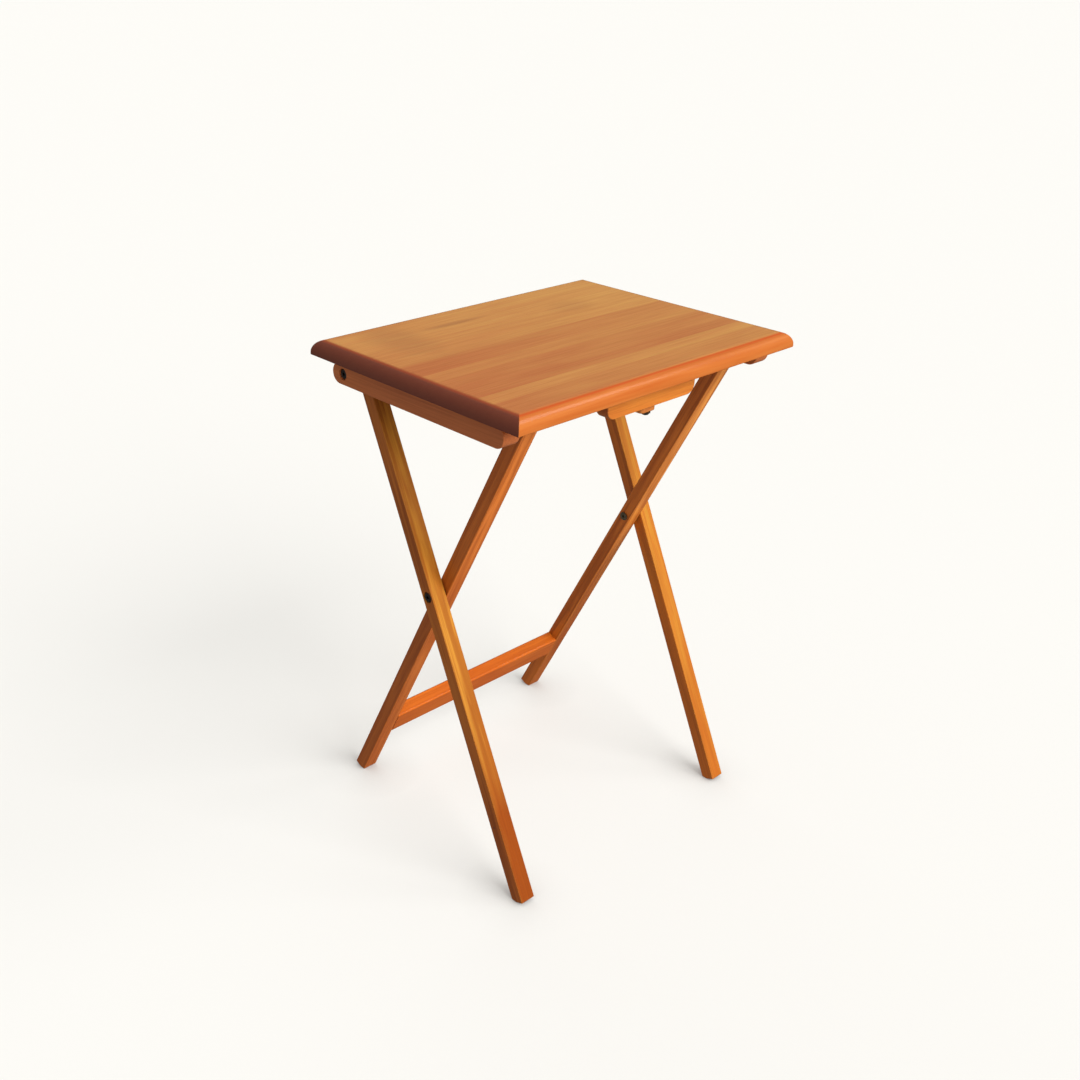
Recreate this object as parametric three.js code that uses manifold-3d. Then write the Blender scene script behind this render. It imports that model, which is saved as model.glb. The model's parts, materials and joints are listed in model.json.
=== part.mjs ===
// Folding wooden tray table: a rectangular tray on two pairs of crossed legs that close like scissors.
// Millimetres. X runs along the tray's long front edge, Y from the front edge to the back edge, Z up.
// The origin is on the floor, under the middle of the tray.
//
// The outer legs carry the tray: each is bolted to a batten near the tray's back edge. The inner legs,
// joined by a lower stretcher and a top rail, turn on the cross bolts, and their top rail holds the tray's
// front. A block under the tray stops that rail, and a wooden turn button keeps the tray down on it.
import * as THREE from 'three';
import { mergeVertices } from 'three/addons/utils/BufferGeometryUtils.js';
import Module from 'manifold-3d';

const wasm = await Module();
wasm.setup();

// ---- Driving dimensions ----
const HEIGHT = 660; // floor to the tray's top
const GAP = 0.3; // air between pieces that touch in the real table
const TURN_STEPS = 24; // flats round a bolt, screw or hole

const TRAY = { length: 480, depth: 358, thickness: 19, topRadius: 16, arris: 1 };
const BATTEN = { width: 24, height: 26.3, outerFace: 232, front: -150, back: 145.5, ease: 1.2 };

const LEG = { width: 22, thickness: 19, ease: 1.2 }; // width across the table, thickness in the plane of the X
const LEG_ANGLE = Math.atan(0.4834); // each leg's lean from upright, with the table open
const OUTER_LEG_FACE = 205.6; // outer face of an outer leg, from the middle of the table
const INNER_LEG_FACE = 182; // outer face of an inner leg
const CROSSING_HEIGHT = 368; // where the legs cross, straight above the origin
const PIVOT_HEIGHT = 627.7; // the bolts at the legs' tops
const FOOT = { flat: 8, toeLift: 4.7 }; // width of the flat on the floor, and how far the toe is cut up

const STRETCHER = { height: 38, thickness: 19, ease: 2.5, level: 99.6 };
const RAIL = { height: 22.4, thickness: 19, ease: 4 };

const BLOCK = { length: 154, depth: 18, height: 28.7, cornerRadius: 12, back: -137.9, ease: 1 };
const BUTTON = { width: 26, front: -152, back: -108, thickness: 7.7, ease: 1.8, frontRadius: 5 };

const BOLT = { shank: 3, head: 6, headHeight: 3.2, socket: 2.3, socketDepth: 2, recess: 7 }; // radii and depths
const PIVOT_RECESS = 5; // depth of the pivot bolt's recess in the batten
const CROSS_RECESS = 4; // depth of the cross bolt's recess in the outer leg
const SLEEVE_NUT = { flange: 6, flangeThickness: 1.4, sleeve: 4.6, length: 10, end: 1, socketDepth: 1.5 };
const INSERT = { radius: 5, length: 14.7 };
const CLEARANCE = 0.3; // a hole's radius less the radius of what stands in it
const PIVOT_WASHER = { radius: 8, thickness: 1.8 };
const CROSS_WASHER = { radius: 8, thickness: 1 };
const SCREW = { shank: 2, head: 4, headHeight: 2.6, slot: 0.9, slotDepth: 1 };
const BUTTON_SCREW = { shank: 2, head: 4.6, headHeight: 2.6, length: 28 };
const BUTTON_WASHER = { radius: 6, thickness: 0.9 };
const BATTEN_SCREW_PLACES = [-95, 60]; // along Y
const BATTEN_SCREW_LENGTH = 37;
const BLOCK_SCREW_PLACES = [-52, 52]; // along X
const BLOCK_SCREW_LENGTH = 39;
const STRETCHER_DOWEL = { radius: 4, length: 30, spacing: 20 };
const RAIL_DOWEL = { radius: 3, length: 30, spacing: 11 };

// ---- Places worked out from them ----
const TRAY_UNDERSIDE = HEIGHT - TRAY.thickness;
const BATTEN_TOP = TRAY_UNDERSIDE - GAP;
const BATTEN_INNER_FACE = BATTEN.outerFace - BATTEN.width;
const PIVOT_REACH = (PIVOT_HEIGHT - CROSSING_HEIGHT) / Math.cos(LEG_ANGLE); // along a leg, crossing to top bolt
const PIVOT_Y = PIVOT_REACH * Math.sin(LEG_ANGLE);
const BLOCK_MIDDLE_Y = BLOCK.back - BLOCK.depth / 2;
const BLOCK_UNDERSIDE = TRAY_UNDERSIDE - GAP - BLOCK.height;
const BUTTON_UNDERSIDE = BLOCK_UNDERSIDE - GAP - BUTTON.thickness;

// ---- Materials ----
const wood = (color) => () => new THREE.MeshStandardMaterial({ color, roughness: 0.38, metalness: 0 });
const steel = (color) => () => new THREE.MeshStandardMaterial({ color, roughness: 0.4, metalness: 0.9 });
const TRAY_WOOD = wood(0xc98447);
const FRAME_WOOD = wood(0xcf7a30);
const DOWEL_WOOD = wood(0xd9b27c);
const DARK_STEEL = steel(0x4a4a4d);
const BRIGHT_STEEL = steel(0x9a9a9c);

// ---- Solids: a geometry to a manifold solid and back ----
function solid(geometry) {
  geometry.deleteAttribute('normal');
  geometry.deleteAttribute('uv');
  const merged = mergeVertices(geometry, 1e-4);
  const mesh = new wasm.Mesh({
    numProp: 3,
    vertProperties: new Float32Array(merged.attributes.position.array),
    triVerts: new Uint32Array(merged.index.array),
  });
  return new wasm.Manifold(mesh);
}

function geometryOf(body) {
  const mesh = body.getMesh();
  const geometry = new THREE.BufferGeometry();
  geometry.setAttribute('position', new THREE.BufferAttribute(new Float32Array(mesh.vertProperties), 3));
  geometry.setIndex(new THREE.BufferAttribute(new Uint32Array(mesh.triVerts), 1));
  geometry.computeVertexNormals();
  return geometry;
}

function cut(body, holes) {
  return holes.reduce((rest, hole) => rest.subtract(hole), body);
}

// ---- Shapes that repeat ----
// An outline in two axes, extruded along the third and centred on it, with its two faces' edges eased.
const ALONG_X = new THREE.Matrix4().makeBasis(
  new THREE.Vector3(0, 1, 0), new THREE.Vector3(0, 0, 1), new THREE.Vector3(1, 0, 0));
const ALONG_Y = new THREE.Matrix4().makeBasis(
  new THREE.Vector3(-1, 0, 0), new THREE.Vector3(0, 0, 1), new THREE.Vector3(0, 1, 0));
const ALONG_Z = new THREE.Matrix4();

function slab(outline, depth, along, ease = 0) {
  const geometry = new THREE.ExtrudeGeometry(outline, {
    depth: depth - 2 * ease,
    bevelEnabled: ease > 0,
    bevelThickness: ease,
    bevelSize: ease,
    bevelOffset: -ease,
    bevelSegments: 2,
    curveSegments: 8,
    steps: 1,
  });
  geometry.translate(0, 0, ease - depth / 2);
  geometry.applyMatrix4(along);
  return solid(geometry);
}

function roundedRectangle(width, height, radius) {
  const x = width / 2;
  const y = height / 2;
  const shape = new THREE.Shape();
  shape.absarc(x - radius, y - radius, radius, 0, Math.PI / 2);
  shape.absarc(radius - x, y - radius, radius, Math.PI / 2, Math.PI);
  shape.absarc(radius - x, radius - y, radius, Math.PI, 1.5 * Math.PI);
  shape.absarc(x - radius, radius - y, radius, 1.5 * Math.PI, 2 * Math.PI);
  return shape;
}

// A round rod along X from one end to the other, on the axis (y, z).
function rodAlongX(radius, from, to, y = 0, z = 0, sides = TURN_STEPS) {
  const geometry = new THREE.CylinderGeometry(radius, radius, Math.abs(to - from), sides);
  geometry.rotateZ(Math.PI / 2);
  geometry.translate((from + to) / 2, y, z);
  return solid(geometry);
}

function rodAlongZ(radius, from, to, x = 0, y = 0) {
  const geometry = new THREE.CylinderGeometry(radius, radius, Math.abs(to - from), TURN_STEPS);
  geometry.rotateX(Math.PI / 2);
  geometry.translate(x, y, (from + to) / 2);
  return solid(geometry);
}

// A turned solid: (radius, height) pairs up the Z axis, starting and ending on the axis.
function turned(profile) {
  const geometry = new THREE.LatheGeometry(profile.map(([r, h]) => new THREE.Vector2(r, h)), TURN_STEPS);
  geometry.rotateX(Math.PI / 2);
  return solid(geometry);
}

// A countersunk wood screw driven upwards: its head's face at height 0, its point above.
function countersunkScrew(length) {
  const body = turned([
    [0, 0], [SCREW.head, 0], [SCREW.shank, SCREW.headHeight],
    [SCREW.shank, length - 4], [0.4, length], [0, length],
  ]);
  const slot = solid(new THREE.BoxGeometry(2 * SCREW.head + 1, SCREW.slot, 2 * SCREW.slotDepth));
  return body.subtract(slot);
}

// The hole that such a screw stands in, open at the face below.
function countersunkHole(length) {
  const widened = SCREW.head + CLEARANCE;
  return turned([
    [0, -1], [widened, -1], [widened, CLEARANCE], [SCREW.shank + CLEARANCE, SCREW.headHeight + CLEARANCE],
    [SCREW.shank + CLEARANCE, length + CLEARANCE], [0, length + CLEARANCE],
  ]);
}

// A socket-head bolt along X, its head outermost at headFace and its end at tip.
function socketBolt(side, headFace, tip) {
  const headBottom = headFace - BOLT.headHeight;
  const head = rodAlongX(BOLT.head, side * headBottom, side * headFace);
  const shank = rodAlongX(BOLT.shank, side * tip, side * (headBottom + 0.1));
  const socket = rodAlongX(BOLT.socket, side * (headFace - BOLT.socketDepth), side * (headFace + 1), 0, 0, 6);
  return head.add(shank).subtract(socket);
}

// A nut with a flange on the inner leg's inner face and a sleeve in the leg, which turns on it. end is how much of
// the sleeve is solid behind the flange, where the hexagon socket is.
function sleeveNut(side, flangeBack) {
  const { flange, flangeThickness, sleeve, length, end, socketDepth } = SLEEVE_NUT;
  const flangeFace = flangeBack - flangeThickness;
  return rodAlongX(flange, side * flangeFace, side * flangeBack)
    .add(rodAlongX(sleeve, side * (flangeFace + 0.1), side * (flangeBack + length)))
    .subtract(rodAlongX(BOLT.shank + CLEARANCE, side * (flangeBack + end), side * (flangeBack + length + 1)))
    .subtract(rodAlongX(BOLT.socket, side * (flangeFace - 1), side * (flangeFace + socketDepth), 0, 0, 6));
}

function washer(side, from, thickness, radius, hole) {
  const ring = rodAlongX(radius, side * from, side * (from + thickness));
  return ring.subtract(rodAlongX(hole, side * (from - 1), side * (from + thickness + 1)));
}

// ---- The scene graph ----
const table = new THREE.Group();

// Outer legs lean back as they rise, inner legs lean forward; both groups turn about the crossing.
const outerLegs = new THREE.Group();
outerLegs.position.z = CROSSING_HEIGHT;
outerLegs.rotation.x = -LEG_ANGLE;
const innerFrame = new THREE.Group();
innerFrame.position.z = CROSSING_HEIGHT;
innerFrame.rotation.x = LEG_ANGLE;
// The pivot bolts' own axis: across the table through the tops of the outer legs.
const pivotAxis = new THREE.Group();
pivotAxis.position.set(0, PIVOT_Y, PIVOT_HEIGHT);
table.add(outerLegs, innerFrame, pivotAxis);

function addPiece(group, name, body, material) {
  const mesh = new THREE.Mesh(geometryOf(body), material());
  mesh.name = name;
  group.add(mesh);
  return mesh;
}

// ---- Legs ----
// A leg in its own plane: along Z from the crossing, round at the top, with a flat on the floor at the heel
// and the toe cut up a little. heelSide is +1 where the heel is on the +Y side, and -1 where it is on the -Y.
function legOutline(heelSide) {
  const half = LEG.thickness / 2;
  const lean = Math.tan(LEG_ANGLE);
  const downTo = (level, offset) => (level - CROSSING_HEIGHT) / Math.cos(LEG_ANGLE) + offset * lean;
  const flatEnd = half - FOOT.flat * Math.cos(LEG_ANGLE);
  const shape = new THREE.Shape();
  shape.moveTo(heelSide * flatEnd, downTo(0, flatEnd));
  shape.lineTo(heelSide * half, downTo(0, half));
  if (heelSide > 0) {
    shape.absarc(0, PIVOT_REACH, half, 0, Math.PI, false);
  } else {
    shape.absarc(0, PIVOT_REACH, half, Math.PI, 0, true);
  }
  shape.lineTo(-heelSide * half, downTo(FOOT.toeLift, -half));
  shape.closePath();
  return shape;
}

function legBlank(side, outerFace, heelSide) {
  return slab(legOutline(heelSide), LEG.width, ALONG_X, LEG.ease)
    .translate([side * (outerFace - LEG.width / 2), 0, 0]);
}

function outerLeg(side) {
  const innerFace = OUTER_LEG_FACE - LEG.width;
  const holes = [
    rodAlongX(BOLT.shank + CLEARANCE, side * (innerFace - 1), side * (OUTER_LEG_FACE + 1)),
    rodAlongX(BOLT.recess, side * (OUTER_LEG_FACE - CROSS_RECESS), side * (OUTER_LEG_FACE + 1)),
    rodAlongX(INSERT.radius + CLEARANCE, side * (OUTER_LEG_FACE - INSERT.length - 2 * GAP),
      side * (OUTER_LEG_FACE + 1), 0, PIVOT_REACH),
  ];
  return cut(legBlank(side, OUTER_LEG_FACE, 1), holes);
}

// Dowels stand in pairs along the leg, half of each in the leg and half in the stretcher or rail.
function dowelPlaces(dowel, level) {
  return [level - dowel.spacing / 2, level + dowel.spacing / 2];
}

const INNER_LEG_INNER_FACE = INNER_LEG_FACE - LEG.width;
const STRETCHER_REACH = (STRETCHER.level - CROSSING_HEIGHT) / Math.cos(LEG_ANGLE);
const DOWEL_SETS = [
  { name: 'stretcher_dowel', dowel: STRETCHER_DOWEL, level: STRETCHER_REACH },
  { name: 'top_rail_dowel', dowel: RAIL_DOWEL, level: PIVOT_REACH },
];

function dowelHoles(side, dowelSet) {
  const { dowel, level } = dowelSet;
  const half = dowel.length / 2 + CLEARANCE;
  return dowelPlaces(dowel, level).map((z) => rodAlongX(dowel.radius + CLEARANCE,
    side * (INNER_LEG_INNER_FACE - half), side * (INNER_LEG_INNER_FACE + half), 0, z));
}

function innerLeg(side) {
  const boltHole = rodAlongX(BOLT.shank + CLEARANCE, side * (INNER_LEG_INNER_FACE - 1), side * (INNER_LEG_FACE + 1));
  const nutHole = rodAlongX(SLEEVE_NUT.sleeve + CLEARANCE, side * (INNER_LEG_INNER_FACE - 1),
    side * (INNER_LEG_INNER_FACE + SLEEVE_NUT.length));
  const holes = [boltHole, nutHole, ...DOWEL_SETS.flatMap((dowelSet) => dowelHoles(side, dowelSet))];
  return cut(legBlank(side, INNER_LEG_FACE, -1), holes);
}

// A bar between the inner legs, its section in line with them.
function crossBar(section, level, dowelSet) {
  const length = 2 * (INNER_LEG_INNER_FACE - GAP);
  const outline = roundedRectangle(section.thickness, section.height, section.ease);
  const bar = slab(outline, length, ALONG_X).translate([0, 0, level]);
  return cut(bar, [...dowelHoles(-1, dowelSet), ...dowelHoles(1, dowelSet)]);
}

addPiece(innerFrame, 'lower_stretcher', crossBar(STRETCHER, STRETCHER_REACH, DOWEL_SETS[0]), FRAME_WOOD);
addPiece(innerFrame, 'top_rail', crossBar(RAIL, PIVOT_REACH, DOWEL_SETS[1]), FRAME_WOOD);

// ---- Battens ----
// A bar with full-round ends under each end of the tray. Its outline is in Y and Z about the pivot axis.
function battenOutline() {
  const radius = BATTEN.height / 2;
  const middle = BATTEN_TOP - radius - PIVOT_HEIGHT;
  const shape = new THREE.Shape();
  shape.absarc(BATTEN.back - radius - PIVOT_Y, middle, radius, -Math.PI / 2, Math.PI / 2, false);
  shape.absarc(BATTEN.front + radius - PIVOT_Y, middle, radius, Math.PI / 2, 1.5 * Math.PI, false);
  shape.closePath();
  return shape;
}

function batten(side) {
  const middleX = side * (BATTEN.outerFace - BATTEN.width / 2);
  const underside = BATTEN_TOP - BATTEN.height - PIVOT_HEIGHT;
  const holes = [
    rodAlongX(BOLT.shank + CLEARANCE, side * (BATTEN_INNER_FACE - 1), side * (BATTEN.outerFace + 1)),
    rodAlongX(BOLT.recess, side * (BATTEN.outerFace - PIVOT_RECESS), side * (BATTEN.outerFace + 1)),
    ...BATTEN_SCREW_PLACES.map((y) => countersunkHole(BATTEN_SCREW_LENGTH)
      .translate([middleX, y - PIVOT_Y, underside])),
  ];
  const bar = slab(battenOutline(), BATTEN.width, ALONG_X, BATTEN.ease).translate([middleX, 0, 0]);
  return cut(bar, holes);
}

// ---- What comes in pairs, left and right ----
for (const [name, side] of [['left', -1], ['right', 1]]) {
  addPiece(outerLegs, `outer_leg_${name}`, outerLeg(side), FRAME_WOOD);
  addPiece(innerFrame, `inner_leg_${name}`, innerLeg(side), FRAME_WOOD);
  addPiece(pivotAxis, `batten_${name}`, batten(side), FRAME_WOOD);

  // At the crossing: a bolt from the outer leg's outer face, a washer between the legs, a sleeve nut inside.
  const crossHead = OUTER_LEG_FACE - CROSS_RECESS + GAP + BOLT.headHeight;
  const nutFace = INNER_LEG_INNER_FACE - GAP;
  const crossTip = nutFace + SLEEVE_NUT.end + 2 * GAP;
  addPiece(outerLegs, `cross_bolt_${name}`, socketBolt(side, crossHead, crossTip), DARK_STEEL);
  addPiece(outerLegs, `cross_nut_${name}`, sleeveNut(side, nutFace), BRIGHT_STEEL);
  addPiece(outerLegs, `cross_washer_${name}`,
    washer(side, INNER_LEG_FACE + GAP, CROSS_WASHER.thickness, CROSS_WASHER.radius, BOLT.shank + CLEARANCE),
    BRIGHT_STEEL);

  // At the leg's top: a bolt from the batten's outer face into a threaded insert, with a washer between.
  const pivotHead = BATTEN.outerFace - PIVOT_RECESS + GAP + BOLT.headHeight;
  const insertFace = OUTER_LEG_FACE - GAP;
  const pivotTip = insertFace - INSERT.length + GAP;
  const insert = washer(side, insertFace - INSERT.length, INSERT.length, INSERT.radius, BOLT.shank + CLEARANCE)
    .translate([0, 0, PIVOT_REACH]);
  addPiece(pivotAxis, `pivot_bolt_${name}`, socketBolt(side, pivotHead, pivotTip), DARK_STEEL);
  addPiece(outerLegs, `pivot_insert_${name}`, insert, BRIGHT_STEEL);
  addPiece(pivotAxis, `pivot_washer_${name}`,
    washer(side, OUTER_LEG_FACE + GAP, PIVOT_WASHER.thickness, PIVOT_WASHER.radius, BOLT.shank + CLEARANCE),
    BRIGHT_STEEL);

  for (const { name: kind, dowel, level } of DOWEL_SETS) {
    const from = INNER_LEG_INNER_FACE - dowel.length / 2;
    dowelPlaces(dowel, level).forEach((z, index) => {
      const peg = rodAlongX(dowel.radius, side * from, side * (from + dowel.length), 0, z);
      addPiece(innerFrame, `${kind}_${name}_${index ? 'upper' : 'lower'}`, peg, DOWEL_WOOD);
    });
  }

  BATTEN_SCREW_PLACES.forEach((y, index) => {
    const screw = addPiece(table, `batten_screw_${name}_${index ? 'back' : 'front'}`,
      countersunkScrew(BATTEN_SCREW_LENGTH), DARK_STEEL);
    const height = BATTEN_TOP - BATTEN.height + GAP;
    screw.position.set(side * (BATTEN.outerFace - BATTEN.width / 2), y, height);
  });
}

// ---- Tray ----
// One glued panel. Its section is the same along both edges: a large round above, a small arris below.
// The two extrusions meet in a mitre at each corner.
function traySection(span) {
  const half = span / 2;
  const { topRadius, arris } = TRAY;
  const shape = new THREE.Shape();
  shape.moveTo(arris - half, TRAY_UNDERSIDE);
  shape.lineTo(half - arris, TRAY_UNDERSIDE);
  shape.lineTo(half, TRAY_UNDERSIDE + arris);
  shape.absarc(half - topRadius, HEIGHT - topRadius, topRadius, 0, Math.PI / 2, false);
  shape.absarc(topRadius - half, HEIGHT - topRadius, topRadius, Math.PI / 2, Math.PI, false);
  shape.lineTo(-half, TRAY_UNDERSIDE + arris);
  shape.closePath();
  return shape;
}

function trayTop() {
  const along = slab(traySection(TRAY.depth), TRAY.length + 2, ALONG_X);
  const across = slab(traySection(TRAY.length), TRAY.depth + 2, ALONG_Y);
  const battenUnderside = BATTEN_TOP - BATTEN.height + GAP;
  const screwX = BATTEN.outerFace - BATTEN.width / 2;
  const battenScrewHoles = [-screwX, screwX].flatMap((x) => BATTEN_SCREW_PLACES.map((y) =>
    countersunkHole(BATTEN_SCREW_LENGTH).translate([x, y, battenUnderside])));
  const blockScrewHoles = BLOCK_SCREW_PLACES.map((x) =>
    countersunkHole(BLOCK_SCREW_LENGTH).translate([x, BLOCK_MIDDLE_Y, BLOCK_UNDERSIDE + GAP]));
  return cut(along.intersect(across), [...battenScrewHoles, ...blockScrewHoles]);
}

addPiece(table, 'tray_top', trayTop(), TRAY_WOOD);

// ---- Catch block and turn button ----
function catchBlock() {
  const { length, height, cornerRadius } = BLOCK;
  const shape = new THREE.Shape();
  shape.moveTo(length / 2, height);
  shape.lineTo(-length / 2, height);
  shape.absarc(cornerRadius - length / 2, cornerRadius, cornerRadius, Math.PI, 1.5 * Math.PI, false);
  shape.absarc(length / 2 - cornerRadius, cornerRadius, cornerRadius, 1.5 * Math.PI, 2 * Math.PI, false);
  shape.closePath();
  const block = slab(shape, BLOCK.depth, ALONG_Y, BLOCK.ease).translate([0, BLOCK_MIDDLE_Y, BLOCK_UNDERSIDE]);
  const buttonScrewHole = rodAlongZ(BUTTON_SCREW.shank + CLEARANCE, BLOCK_UNDERSIDE - 1,
    BUTTON_UNDERSIDE + BUTTON_SCREW.length, 0, BLOCK_MIDDLE_Y);
  const blockScrewHoles = BLOCK_SCREW_PLACES.map((x) =>
    countersunkHole(BLOCK_SCREW_LENGTH).translate([x, BLOCK_MIDDLE_Y, BLOCK_UNDERSIDE]));
  return cut(block, [buttonScrewHole, ...blockScrewHoles]);
}

function turnButton() {
  const half = BUTTON.width / 2;
  const { front, back, frontRadius } = BUTTON;
  const shape = new THREE.Shape();
  shape.absarc(0, back - half, half, 0, Math.PI, false);
  shape.absarc(frontRadius - half, front + frontRadius, frontRadius, Math.PI, 1.5 * Math.PI, false);
  shape.absarc(half - frontRadius, front + frontRadius, frontRadius, 1.5 * Math.PI, 2 * Math.PI, false);
  shape.closePath();
  const middle = BUTTON_UNDERSIDE + BUTTON.thickness / 2;
  const button = slab(shape, BUTTON.thickness, ALONG_Z, BUTTON.ease).translate([0, 0, middle]);
  return button.subtract(rodAlongZ(BUTTON_SCREW.shank + CLEARANCE, BUTTON_UNDERSIDE - 1,
    BLOCK_UNDERSIDE + 1, 0, BLOCK_MIDDLE_Y));
}

function buttonScrew() {
  const { shank, head, headHeight, length } = BUTTON_SCREW;
  const body = turned([
    [0, 0], [0.55 * head, 0], [0.88 * head, 0.3 * headHeight], [head, 0.75 * headHeight], [head, headHeight],
    [shank, headHeight], [shank, length - 4], [0.4, length], [0, length],
  ]);
  return body.subtract(solid(new THREE.BoxGeometry(2 * head + 1, SCREW.slot, 2 * SCREW.slotDepth)));
}

addPiece(table, 'catch_block', catchBlock(), FRAME_WOOD);
addPiece(table, 'turn_button', turnButton(), FRAME_WOOD);

const washerTop = BUTTON_UNDERSIDE - GAP;
const buttonWasher = rodAlongZ(BUTTON_WASHER.radius, washerTop - BUTTON_WASHER.thickness, washerTop)
  .subtract(rodAlongZ(BUTTON_SCREW.shank + CLEARANCE, washerTop - 5, washerTop + 5));
addPiece(table, 'button_washer', buttonWasher, BRIGHT_STEEL).position.y = BLOCK_MIDDLE_Y;

const buttonScrewFoot = washerTop - BUTTON_WASHER.thickness - GAP - BUTTON_SCREW.headHeight;
addPiece(table, 'button_screw', buttonScrew(), DARK_STEEL).position.set(0, BLOCK_MIDDLE_Y, buttonScrewFoot);

BLOCK_SCREW_PLACES.forEach((x, index) => {
  const screw = addPiece(table, `block_screw_${index ? 'right' : 'left'}`,
    countersunkScrew(BLOCK_SCREW_LENGTH), DARK_STEEL);
  screw.position.set(x, BLOCK_MIDDLE_Y, BLOCK_UNDERSIDE + GAP);
});

export default table;
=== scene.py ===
"""A folding wooden tray table, standing open on a pale studio floor.

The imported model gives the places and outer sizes. The wooden pieces, the bolts and the sleeve nuts are modelled
again here with eased edges, real recesses and rounded heads. Washers, inserts, dowels and screws keep their own
shapes and get a finish.
Metres, Z up: X runs along the tray's long front edge, Y from the front edge to the back edge.
"""

import json
from math import atan2, cos, pi, radians, sin

import bpy
from mathutils import Euler, Matrix, Vector


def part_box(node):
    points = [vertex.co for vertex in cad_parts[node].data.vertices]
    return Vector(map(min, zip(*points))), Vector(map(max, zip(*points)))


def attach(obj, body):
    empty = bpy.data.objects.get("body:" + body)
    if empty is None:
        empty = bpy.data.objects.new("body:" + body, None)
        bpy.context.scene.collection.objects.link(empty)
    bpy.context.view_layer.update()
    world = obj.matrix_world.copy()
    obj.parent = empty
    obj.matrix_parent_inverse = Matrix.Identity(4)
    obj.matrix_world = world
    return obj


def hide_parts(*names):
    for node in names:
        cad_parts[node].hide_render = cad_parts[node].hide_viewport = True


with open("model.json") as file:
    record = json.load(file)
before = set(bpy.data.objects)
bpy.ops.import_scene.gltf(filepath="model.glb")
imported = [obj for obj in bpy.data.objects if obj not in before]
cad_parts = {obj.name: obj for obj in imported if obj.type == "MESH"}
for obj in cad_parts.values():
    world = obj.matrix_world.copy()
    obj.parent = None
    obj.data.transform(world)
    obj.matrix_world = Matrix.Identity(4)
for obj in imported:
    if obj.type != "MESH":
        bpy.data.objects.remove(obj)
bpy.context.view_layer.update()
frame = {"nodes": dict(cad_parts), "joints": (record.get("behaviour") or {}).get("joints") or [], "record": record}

MM = 0.001
JOINTS = {joint["name"]: joint for joint in frame["joints"]}
CROSSING = Vector(JOINTS["leg_fold"]["pos_m"])  # where the legs cross, on the middle plane
PIVOT = Vector(JOINTS["tray_swing"]["pos_m"])  # the bolts' axis at the tops of the outer legs
BUTTON_AXIS = Vector(JOINTS["latch_turn"]["pos_m"])
LEG_ANGLE = atan2(PIVOT.y - CROSSING.y, PIVOT.z - CROSSING.z)
LEG_REACH = (PIVOT - CROSSING).length  # along a leg, from the crossing to the bolt at its top

# ---- Sizes of what the frame's boxes don't give ----
LEG_THICKNESS = 19 * MM  # in the plane of the X
LEG_EASE = 1.3 * MM
FOOT_FLAT = 8 * MM  # width of the flat that stands on the floor
TOE_LIFT = 4.7 * MM  # how far the toe is cut up from the floor
TRAY_ROUND = 16 * MM
TRAY_ARRIS = 1 * MM
STRETCHER = {"height": 38 * MM, "thickness": 19 * MM, "ease": 2.5 * MM}
RAIL = {"height": 22.4 * MM, "thickness": 19 * MM, "ease": 4 * MM}
BLOCK_CORNER = 12 * MM
BUTTON_FRONT_CORNER = 5 * MM

BOLT_HOLE = 3.3 * MM  # radii
BOLT_RECESS = 7 * MM
INSERT_HOLE = 5.3 * MM
PIVOT_RECESS_DEPTH = 5 * MM
CROSS_RECESS_DEPTH = 4 * MM
INSERT_HOLE_DEPTH = 15.3 * MM
BOLT = {"head": 6 * MM, "shank": 3 * MM, "head_height": 3.2 * MM, "socket": 2.3 * MM,
        "socket_depth": 2 * MM}
NUT = {"flange_thickness": 1.4 * MM, "sleeve": 4.6 * MM, "solid_end": 1 * MM, "socket_depth": 1.5 * MM}
NUT_HOLE = {"radius": 4.9 * MM, "depth": 10 * MM}
SCREW = {"shank": 2.3 * MM, "head": 4.3 * MM, "head_height": 2.9 * MM}
STRETCHER_DOWEL = {"radius": 4.3 * MM, "spacing": 20 * MM, "half": 15.3 * MM}
RAIL_DOWEL = {"radius": 3.3 * MM, "spacing": 11 * MM, "half": 15.3 * MM}

X = Vector((1, 0, 0))
Y = Vector((0, 1, 0))
Z = Vector((0, 0, 1))
SIDES = {"left": -1, "right": 1}


# ---- Modelling steps ----
def deselect_all():
    if bpy.context.object and bpy.context.object.mode == "EDIT":
        bpy.ops.object.mode_set(mode="OBJECT")
    bpy.ops.object.select_all(action="DESELECT")


def settle(piece):
    """Puts the piece's place, turn and size into its mesh, so that its object sits at the origin."""
    deselect_all()
    piece.select_set(True)
    bpy.context.view_layer.objects.active = piece
    bpy.ops.object.transform_apply(location=True, rotation=True, scale=True)


def bar(name, low, high):
    """A square-edged blank from its lowest corner to its highest."""
    low, high = Vector(low), Vector(high)
    deselect_all()
    bpy.ops.mesh.primitive_cube_add(size=1, location=(low + high) / 2, scale=high - low)
    piece = bpy.context.object
    piece.name = name
    settle(piece)
    return piece


def rod(name, start, end, radius, sides=48):
    """A round blank from one end of its axis to the other."""
    start, end = Vector(start), Vector(end)
    along = end - start
    deselect_all()
    bpy.ops.mesh.primitive_cylinder_add(
        vertices=sides, radius=radius, depth=along.length, location=(start + end) / 2,
        rotation=Z.rotation_difference(along).to_euler())
    piece = bpy.context.object
    piece.name = name
    settle(piece)
    return piece


def pick(piece, kind, wanted):
    """Goes into edit mode with only the edges or faces selected that wanted() says yes to."""
    deselect_all()
    piece.select_set(True)
    bpy.context.view_layer.objects.active = piece
    bpy.context.tool_settings.mesh_select_mode = (False, kind == "edges", kind == "polygons")
    mesh = piece.data
    for part in (mesh.vertices, mesh.edges, mesh.polygons):
        part.foreach_set("select", [False] * len(part))
    for item in getattr(mesh, kind):
        item.select = bool(wanted(item, [mesh.vertices[index].co for index in item.vertices]))
    bpy.ops.object.mode_set(mode="EDIT")


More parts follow.
